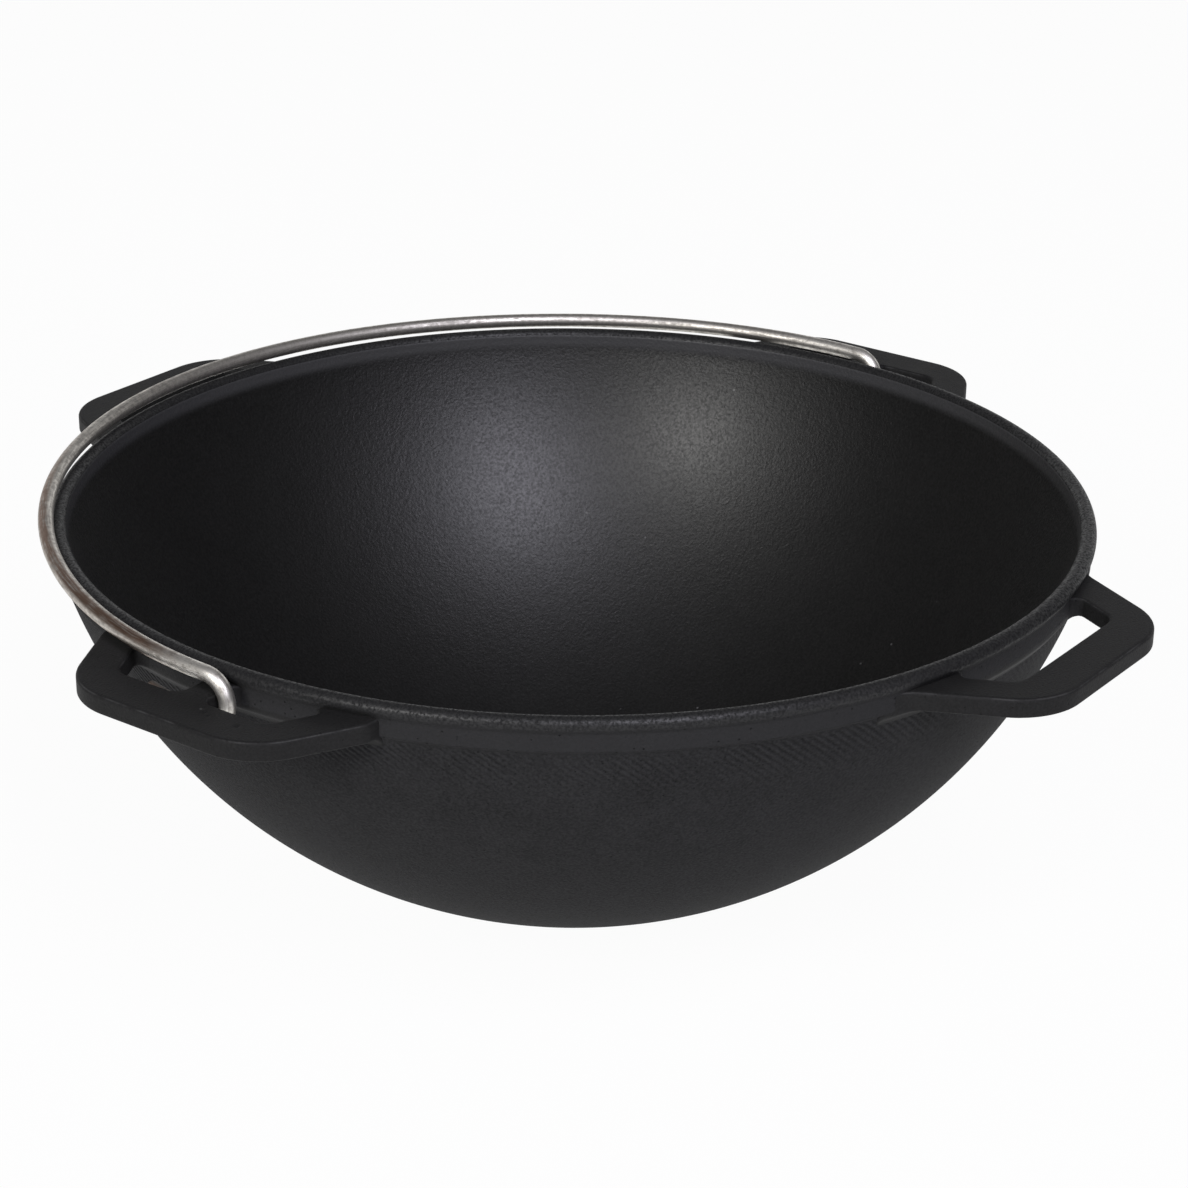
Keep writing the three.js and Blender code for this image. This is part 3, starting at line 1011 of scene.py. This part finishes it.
@dataclass
class Ear:
    """A flat loop at the rim, with a bar, two spread arms and one or two holes."""

    node: str
    turn: float
    form: EarForm
    dents: tuple[Dent, ...]
    bowl: Bowl
    reach: float
    bottom: float
    top: float
    bar_length: float = 82.0
    bar_width: float = 18.0
    arm_width: float = 15.0
    flare: float = 27.5
    corner_radius: float = 28.0
    hole_corner: float = 8.0
    hole_root: float = 3.0
    bridge_width: float = 11.5
    bridge_fillet: float = 4.0
    top_round: float = 1.3
    bottom_round: float = 0.9
    under_fillet: float = 7.0
    seat: float = 0.05
    sunk: float = 2.4
    least_bend: float = 0.15
    cell: float = 0.6
    side_margin: float = 8.0
    inner_margin: float = 24.0
    under_margin: float = 4.0

    @classmethod
    def from_frame(cls, node: str, turn: float, kind: EarKind, dents: tuple[Dent, ...], bowl: Bowl) -> "Ear":
        """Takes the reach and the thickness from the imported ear.

        Args:
            node: the ear's node.
            turn: how far the ear is turned from +Y, counter-clockwise.
            kind: the kind of ear.
            dents: the nicks in it.
            bowl: the bowl that carries it.

        Returns:
            The ear.
        """
        low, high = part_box(node)
        away = Vector((-math.sin(math.radians(turn)), math.cos(math.radians(turn)), 0.0))
        reach = max(low.dot(away), high.dot(away)) / MM
        return cls(node, turn, kind.value, dents, bowl, reach, low.z / MM, high.z / MM)

    def root_width(self) -> float:
        """Returns half the width at which the straight sides run into the band."""
        slope = math.tan(math.radians(self.flare))
        on_axis = self.bar_length / 2 + self.reach * slope
        square = 1 + slope**2
        half = on_axis * slope
        root = math.sqrt(half**2 - square * (on_axis**2 - self.bowl.band_radius**2))
        return on_axis - slope * (half + root) / square

    def plan(self, across: Array, out: Array) -> Array:
        """Distance outside the ear as seen from above.

        Args:
            across: places along the rim, from the ear's middle.
            out: distances from the bowl's axis plane, along the ear.

        Returns:
            The distance, below 0 on the iron.
        """
        lean, stand = math.sin(math.radians(self.flare)), math.cos(math.radians(self.flare))
        wide = np.abs(across)
        band = np.hypot(across, out) - (self.bowl.band_radius - self.seat)
        side = wide * stand + out * lean - (self.bar_length / 2 * stand + self.reach * lean)
        root = self.root_width()
        root_out = math.sqrt(self.bowl.band_radius**2 - root**2)
        meeting = (stand * root + lean * root_out) / self.bowl.band_radius
        fillet = self.form.root_fillet
        outer = round_corner(side, out - self.reach, lean, self.corner_radius)
        outer = round_seam(outer, band, meeting, fillet)
        end = root + fillet * math.tan(math.acos(meeting) / 2) + self.form.root_margin
        outer = round_corner(outer, wide - end, 0.0, self.bottom_round)

        hole_side = side + self.arm_width
        hole_bar = out - (self.reach - self.bar_width)
        hole = round_corner(hole_side, hole_bar, lean, self.hole_corner)
        hole = np.maximum(hole, round_corner(hole_side, -band, -meeting, self.hole_root))
        if self.form.bridged:
            beside = self.bridge_width / 2 - wide
            hole = np.maximum(hole, round_corner(beside, hole_bar, 0.0, self.bridge_fillet))
            hole = np.maximum(hole, round_corner(beside, -band, 0.0, self.hole_root))
        return np.maximum(outer, -hole)

    def distance(self, points: Array) -> Array:
        """Distance outside the ear's iron.

        Args:
            points: places in the ear's own frame: across, out and level.

        Returns:
            The distance at each place, below 0 on the iron.
        """
        across, out, level = points.T
        centre, radius = self.bowl.outer_ball()
        wall = np.hypot(np.hypot(across, out), level - centre[1]) - (radius - self.seat)
        down = (centre[1] - self.bottom) / radius
        under = round_seam(self.bottom - level, wall, down, self.under_fillet)
        body = round_corner(self.plan(across, out), level - self.top, 0.0, self.top_round)
        body = round_corner(body, under, 0.0, self.bottom_round)
        for dent in self.dents:
            middle = np.array([dent.across, dent.out, dent.level])
            body = np.maximum(body, dent.radius - np.linalg.norm(points - middle, axis=1))
        return np.maximum(body, -wall - self.sunk)

    def edge_line(self, points: Array) -> Array:
        """Returns how near points are to the middle of a rounded upper or lower edge, from 0 to 1."""
        slope = slope_of(self.distance, points, self.cell / 4)
        rise = np.clip(slope[:, 2] / np.linalg.norm(slope, axis=1), -1.0, 1.0)
        middle = 2 * np.abs(rise) * np.sqrt(1 - rise**2)
        return np.where(bend_of(self.distance, points, self.cell) > self.least_bend, middle, 0.0)

    def build(self, finish: Material) -> Piece:
        """Meshes the ear, turns it to its place and dresses it.

        Args:
            finish: the ears' material.

        Returns:
            The ear.
        """
        half = self.root_width() + self.form.root_fillet + self.side_margin
        inner = self.bowl.band_radius - self.inner_margin
        low = np.array([-half, inner, self.bottom - self.under_fillet - self.under_margin])
        high = np.array([half, self.reach + 2 * self.cell, self.top + 2 * self.cell])
        points, faces = SurfaceNet(self.distance, low, high, self.cell).build()
        piece = write_mesh("cast_" + self.node, turned(points, self.turn, 0, 1), faces, [finish])
        store_numbers(piece.data, EDGE_ATTRIBUTE, self.edge_line(points))
        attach(piece, CASTING_BODY)
        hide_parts(self.node)
        return piece


@dataclass
class Bail:
    """The wire bail: an arch along the lip, with a hook and a straight tail at each end."""

    bowl: Bowl
    hinge_level: float
    tail_end: float = 27.0
    wire_diameter: float = 5.8
    hook_radius: float = 9.44
    hook_to_lip: float = 4.0
    tail_rise: float = 11.0
    arch_to_lip: float = 1.6
    leg_spread_power: float = 6.0
    rest_angle: float = 1.05
    end_round: float = 0.7
    end_steps: int = 5
    arch_steps: int = 360
    hook_steps: int = 48
    tail_steps: int = 8
    wire_sides: int = 28

    @classmethod
    def from_frame(cls, bowl: Bowl) -> "Bail":
        """Takes the hinge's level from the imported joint.

        Args:
            bowl: the bowl on whose lip the arch lies.

        Returns:
            The bail.
        """
        hinge = next(joint for joint in frame["joints"] if joint["name"] == BAIL_JOINT)["pos_m"]
        return cls(bowl=bowl, hinge_level=hinge[2] / MM)

    @property
    def wire_radius(self) -> float:
        """Radius of the wire."""
        return self.wire_diameter / 2

    @property
    def hook_distance(self) -> float:
        """Distance of the hooks from the bowl's axis."""
        return self.bowl.rim_radius + self.hook_to_lip + self.wire_radius

    def arch_distance(self) -> float:
        """Returns the arch's distance from the axis, where its middle lies just clear of the lip's round."""
        lift = self.bowl.rim_radius * math.sin(math.radians(self.rest_angle))
        rise = self.hinge_level + self.hook_radius + lift - self.bowl.lip_centre[1]
        apart = self.bowl.lip_radius + self.wire_radius + self.arch_to_lip
        return self.bowl.lip_centre[0] + math.sqrt(max(apart**2 - rise**2, 0.0))

    def half_path(self) -> Array:
        """Points about the hinge from the +X tail's tip, round the hook and along the arch to its middle."""
        bottom = 270.0 + self.tail_rise
        ring = arc(np.zeros(2), self.hook_radius, bottom, 90.0, self.hook_steps)
        hook = np.column_stack([np.full(len(ring), self.hook_distance), ring])
        foot = hook[0]
        run = self.tail_end - foot[1]
        tip = foot + np.array([0.0, run, run * math.tan(math.radians(self.tail_rise))])
        steps = np.linspace(0.0, 1.0, self.tail_steps, endpoint=False)[:, None]
        tail = tip + steps * (foot - tip)
        turns = np.linspace(0.0, math.pi / 2, self.arch_steps // 2 + 1)[1:]
        spread = np.cos(turns) ** self.leg_spread_power
        inner = self.arch_distance()
        reach = inner + spread * (self.hook_distance - inner)
        level = np.full(len(turns), self.hook_radius)
        arch = np.column_stack([reach * np.cos(turns), reach * np.sin(turns), level])
        return np.concatenate([tail, hook, arch])

    def path(self) -> tuple[Array, Array]:
        """Works out the whole middle line at rest.

        Returns:
            The points, and the wire's thickness at each as a share, less at the rounded ends.
        """
        half = self.half_path()
        inwards = half[1] - half[0]
        inwards = inwards / np.linalg.norm(inwards)
        angles = np.radians(np.linspace(0.0, 90.0, self.end_steps + 1))
        tip = half[0] + inwards * self.end_round * (1 - np.cos(angles))[:, None]
        half = np.concatenate([tip, half[1:]])
        shares = np.ones(len(half))
        shares[: len(angles)] = 1 - self.end_round / self.wire_radius * (1 - np.sin(angles))
        mirrored = half[-2::-1] * np.array([-1.0, 1.0, 1.0])
        points = turned(np.concatenate([half, mirrored]), self.rest_angle, 1, 2)
        points[:, 2] += self.hinge_level
        return points, np.concatenate([shares, shares[-2::-1]])

    def wire_tree(self) -> bpy.types.NodeTree:
        """Builds the geometry tree that draws a round wire along a line.

        Returns:
            The tree, with inputs for the line, the wire's radius, its sides and its finish.
        """
        tree = bpy.data.node_groups.new("wire_along_line", "GeometryNodeTree")
        sheet = NodeSheet(tree)
        sizes = {"Wire Radius": NUMBER, "Wire Sides": "NodeSocketInt"}
        sheet.open("INPUT", {"Geometry": GEOMETRY, **sizes, "Finish": "NodeSocketMaterial"})
        sheet.open("OUTPUT", {"Geometry": GEOMETRY})
        given = sheet.add("NodeGroupInput").outputs

        line = sheet.add("GeometryNodeMeshToCurve", Mesh=given["Geometry"]).outputs[0]
        share = sheet.add("GeometryNodeInputNamedAttribute", {"data_type": "FLOAT"}, Name=SHARE_ATTRIBUTE)
        line = sheet.add("GeometryNodeSetCurveRadius", Curve=line, Radius=share.outputs[0]).outputs[0]
        length = sheet.add("GeometryNodeSplineParameter").outputs["Length"]
        line, along = sheet.captured(line, "FLOAT", length)
        section = {"Resolution": given["Wire Sides"], "Radius": given["Wire Radius"]}
        ring = sheet.add("GeometryNodeCurvePrimitiveCircle", {"mode": "RADIUS"}, **section).outputs[0]
        spot = sheet.add("GeometryNodeInputPosition").outputs[0]
        ring, around = sheet.captured(ring, "VECTOR", spot)
        scale = sheet.add("GeometryNodeInputRadius").outputs[0]
        curves = {"Curve": line, "Profile_Curve": ring}
        tube = sheet.add("GeometryNodeCurveToMesh", Scale=scale, Fill_Caps=True, **curves).outputs[0]

        sides = sheet.axes(around)
        coords = sheet.add("ShaderNodeCombineXYZ", X=along, Y=sides["X"], Z=sides["Y"]).outputs[0]
        tube = sheet.stored(tube, "FLOAT_VECTOR", WIRE_ATTRIBUTE, coords)
        away = sheet.vector("NORMALIZE", in0=sheet.vector("MULTIPLY", in0=spot, in1=(1.0, 1.0, 0.0)))
        facing = sheet.add("GeometryNodeInputNormal").outputs[0]
        outer = sheet.vector("DOT_PRODUCT", in0=away, in1=facing)
        tube = sheet.stored(tube, "FLOAT", OUTER_ATTRIBUTE, outer)
        whole = sheet.add("GeometryNodeRealizeInstances", Geometry=tube).outputs[0]
        dressed = sheet.add("GeometryNodeSetMaterial", Geometry=whole, Material=given["Finish"]).outputs[0]
        sheet.add("NodeGroupOutput", Geometry=dressed)
        return tree

    def build(self) -> Piece:
        """Draws the wire along its line and dresses it.

        Returns:
            The bail.
        """
        points, shares = self.path()
        mesh = bpy.data.meshes.new("bail_line")
        links = [(number, number + 1) for number in range(len(points) - 1)]
        mesh.from_pydata((points * MM).tolist(), links, [])
        store_numbers(mesh, SHARE_ATTRIBUTE, shares)
        values = {
            "Wire Radius": self.wire_radius * MM,
            "Wire Sides": self.wire_sides,
            "Finish": WIRE_STEEL.make(),
        }
        piece = run_tree(add_object("bail_line", mesh), self.wire_tree(), values, "wire_bail")
        make_smooth(piece.data)
        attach(piece, BAIL_BODY)
        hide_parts("bail")
        return piece


def run_tree(base: Piece, tree: bpy.types.NodeTree, values: dict[str, Any], name: str) -> Piece:
    """Runs a geometry tree on an object and keeps the result as a plain mesh.

    Args:
        base: the object that the tree starts from, removed afterwards.
        tree: the geometry tree.
        values: a value for each named input.
        name: the new piece's name.

    Returns:
        The new piece.
    """
    modifier = base.modifiers.new("shape", "NODES")
    modifier.node_group = tree
    for socket in tree.interface.items_tree:
        if socket.in_out == "INPUT" and socket.name in values:
            modifier[socket.identifier] = values[socket.name]
    bpy.context.view_layer.update()
    shaped = base.evaluated_get(bpy.context.evaluated_depsgraph_get())
    mesh = bpy.data.meshes.new_from_object(shaped)
    mesh.name = name
    base.modifiers.remove(modifier)
    bpy.data.objects.remove(base)
    return add_object(name, mesh)


def towards(bearing: float, elevation: float) -> Vector:
    """Returns the direction towards a bearing, where 0 is -Y and 90 is +X, and an elevation."""
    turn, rise = math.radians(bearing), math.radians(elevation)
    flat = math.cos(rise)
    return Vector((math.sin(turn) * flat, -math.cos(turn) * flat, math.sin(rise)))


@dataclass(frozen=True)
class SoftLamp:
    """A soft rectangular lamp that is turned to the bowl, with its power in watts."""

    bearing: float
    elevation: float
    width: float
    height: float
    power: float
    colour: Colour


LAMPS = (
    SoftLamp(
        bearing=-33.0, elevation=44.5, width=1000.0, height=1800.0, power=66.0, colour=(0.90, 0.89, 1.0),
    ),
    SoftLamp(
        bearing=-88.0, elevation=31.0, width=800.0, height=900.0, power=44.0, colour=(1.0, 0.99, 0.97),
    ),
)


@dataclass
class Studio:
    """The pale floor, the soft lamps, the surroundings and the camera."""

    target: tuple[float, float, float] = (4.80, -6.58, 115.34)
    bearing: float = -53.89
    elevation: float = 23.69
    distance: float = 1189.1
    roll: float = 0.70
    focal_length: float = 91.96
    sensor: float = 36.0
    sight: float = 100000.0
    floor_size: float = 24000.0
    floor_drop: float = 0.2
    lamp_distance: float = 3200.0
    sky: Colour = (0.105, 0.105, 0.105)
    backdrop: Colour = (0.90, 0.90, 0.90)
    backdrop_top: float = 0.40
    backdrop_side: float = 0.70
    backdrop_fade: float = 0.15

    def build_floor(self) -> None:
        """Lays the floor just under the ground flat."""
        half = self.floor_size / 2
        corners = np.array([[-half, -half], [half, -half], [half, half], [-half, half]])
        points = np.column_stack([corners, np.full(4, -self.floor_drop)])
        floor = write_mesh("pale_floor", points, [[0, 1, 2, 3]], [FLOOR_WHITE.make()])

    def build_lamps(self) -> None:
        """Hangs the soft lamps, turned to the bowl."""
        for number, lamp in enumerate(LAMPS, start=1):
            data = bpy.data.lights.new(f"soft_lamp_{number}", "AREA")
            data.shape = "RECTANGLE"
            data.size = lamp.width * MM
            data.size_y = lamp.height * MM
            data.energy = lamp.power
            data.color = lamp.colour
            stand = add_object(data.name, data)
            away = towards(lamp.bearing, lamp.elevation)
            stand.location = (Vector(self.target) + away * self.lamp_distance) * MM
            stand.rotation_euler = away.to_track_quat("Z", "Y").to_euler()

    def build_sky(self) -> None:
        """Sets the surroundings: dark, with a low white backdrop behind the part, and white to the camera."""
        world = bpy.data.worlds.new("surroundings")
        sheet = NodeSheet.emptied(world)
        direction = sheet.add("ShaderNodeTexCoord").outputs["Generated"]
        facing = sheet.vector("DOT_PRODUCT", in0=direction, in1=tuple(-towards(self.bearing, 0.0)))
        level = sheet.axes(direction)["Z"]
        fade = self.backdrop_fade
        below = sheet.fade(level, self.backdrop_top + fade, self.backdrop_top - fade)
        beside = sheet.fade(facing, self.backdrop_side - fade, self.backdrop_side + fade)
        backdrop = sheet.product(below, beside)
        tone = sheet.blend(backdrop, self.sky, self.backdrop)
        light = sheet.add("ShaderNodeBackground", Color=tone, Strength=1.0)
        white = sheet.add("ShaderNodeBackground", Color=(1.0, 1.0, 1.0, 1.0), Strength=1.0)
        rays = sheet.add("ShaderNodeLightPath").outputs
        mirrored = sheet.math("ADD", rays["Is Glossy Ray"], rays["Is Transmission Ray"])
        seen = sheet.math("ADD", rays["Is Camera Ray"], sheet.product(mirrored, backdrop), clamp=True)
        mixed = sheet.add("ShaderNodeMixShader", Fac=seen, in1=light.outputs[0], in2=white.outputs[0])
        sheet.add("ShaderNodeOutputWorld", Surface=mixed.outputs[0])
        bpy.context.scene.world = world

    def build_camera(self) -> None:
        """Sets the camera at the photograph's viewing angle."""
        data = bpy.data.cameras.new("camera")
        data.sensor_fit = "HORIZONTAL"
        data.sensor_width = self.sensor
        data.lens = self.focal_length
        data.clip_end = self.sight * MM
        camera = add_object("camera", data)
        away = towards(self.bearing, self.elevation)
        level_right = Vector((0.0, 0.0, 1.0)).cross(away).normalized()
        level_up = away.cross(level_right)
        roll = math.radians(self.roll)
        right = level_right * math.cos(roll) + level_up * math.sin(roll)
        up = level_up * math.cos(roll) - level_right * math.sin(roll)
        place = (Vector(self.target) + away * self.distance) * MM
        camera.matrix_world = Matrix.Translation(place) @ Matrix((right, up, away)).transposed().to_4x4()
        bpy.context.scene.camera = camera

    def build(self) -> None:
        """Builds the whole studio."""
        self.build_floor()
        self.build_lamps()
        self.build_sky()
        self.build_camera()
        bpy.context.scene.view_settings.view_transform = "Standard"


def main() -> None:
    """Builds the studio, the casting and the bail, and reports each piece."""
    logging.basicConfig(level=logging.INFO, format="%(name)s: %(message)s")
    Studio().build()
    effects = Effects()
    bowl = Bowl.from_frame()
    pieces = [bowl.build(effects)]
    ear_finish = EAR_IRON.make(effects)
    ears = (
        ("back_handle", EarKind.HANDLE, ()),
        ("left_bail_ear", EarKind.BAIL_EAR, LEFT_EAR_DENTS),
        ("front_handle", EarKind.HANDLE, ()),
        ("right_bail_ear", EarKind.BAIL_EAR, ()),
    )
    for number, (node, kind, dents) in enumerate(ears):
        ear = Ear.from_frame(node, number * QUARTER_TURN, kind, dents, bowl)
        pieces.append(ear.build(ear_finish))
    pieces.append(Bail.from_frame(bowl).build())
    for piece in pieces:
        log.info("%s: %d faces", piece.name, len(piece.data.polygons))


if __name__ == "__main__":
    main()
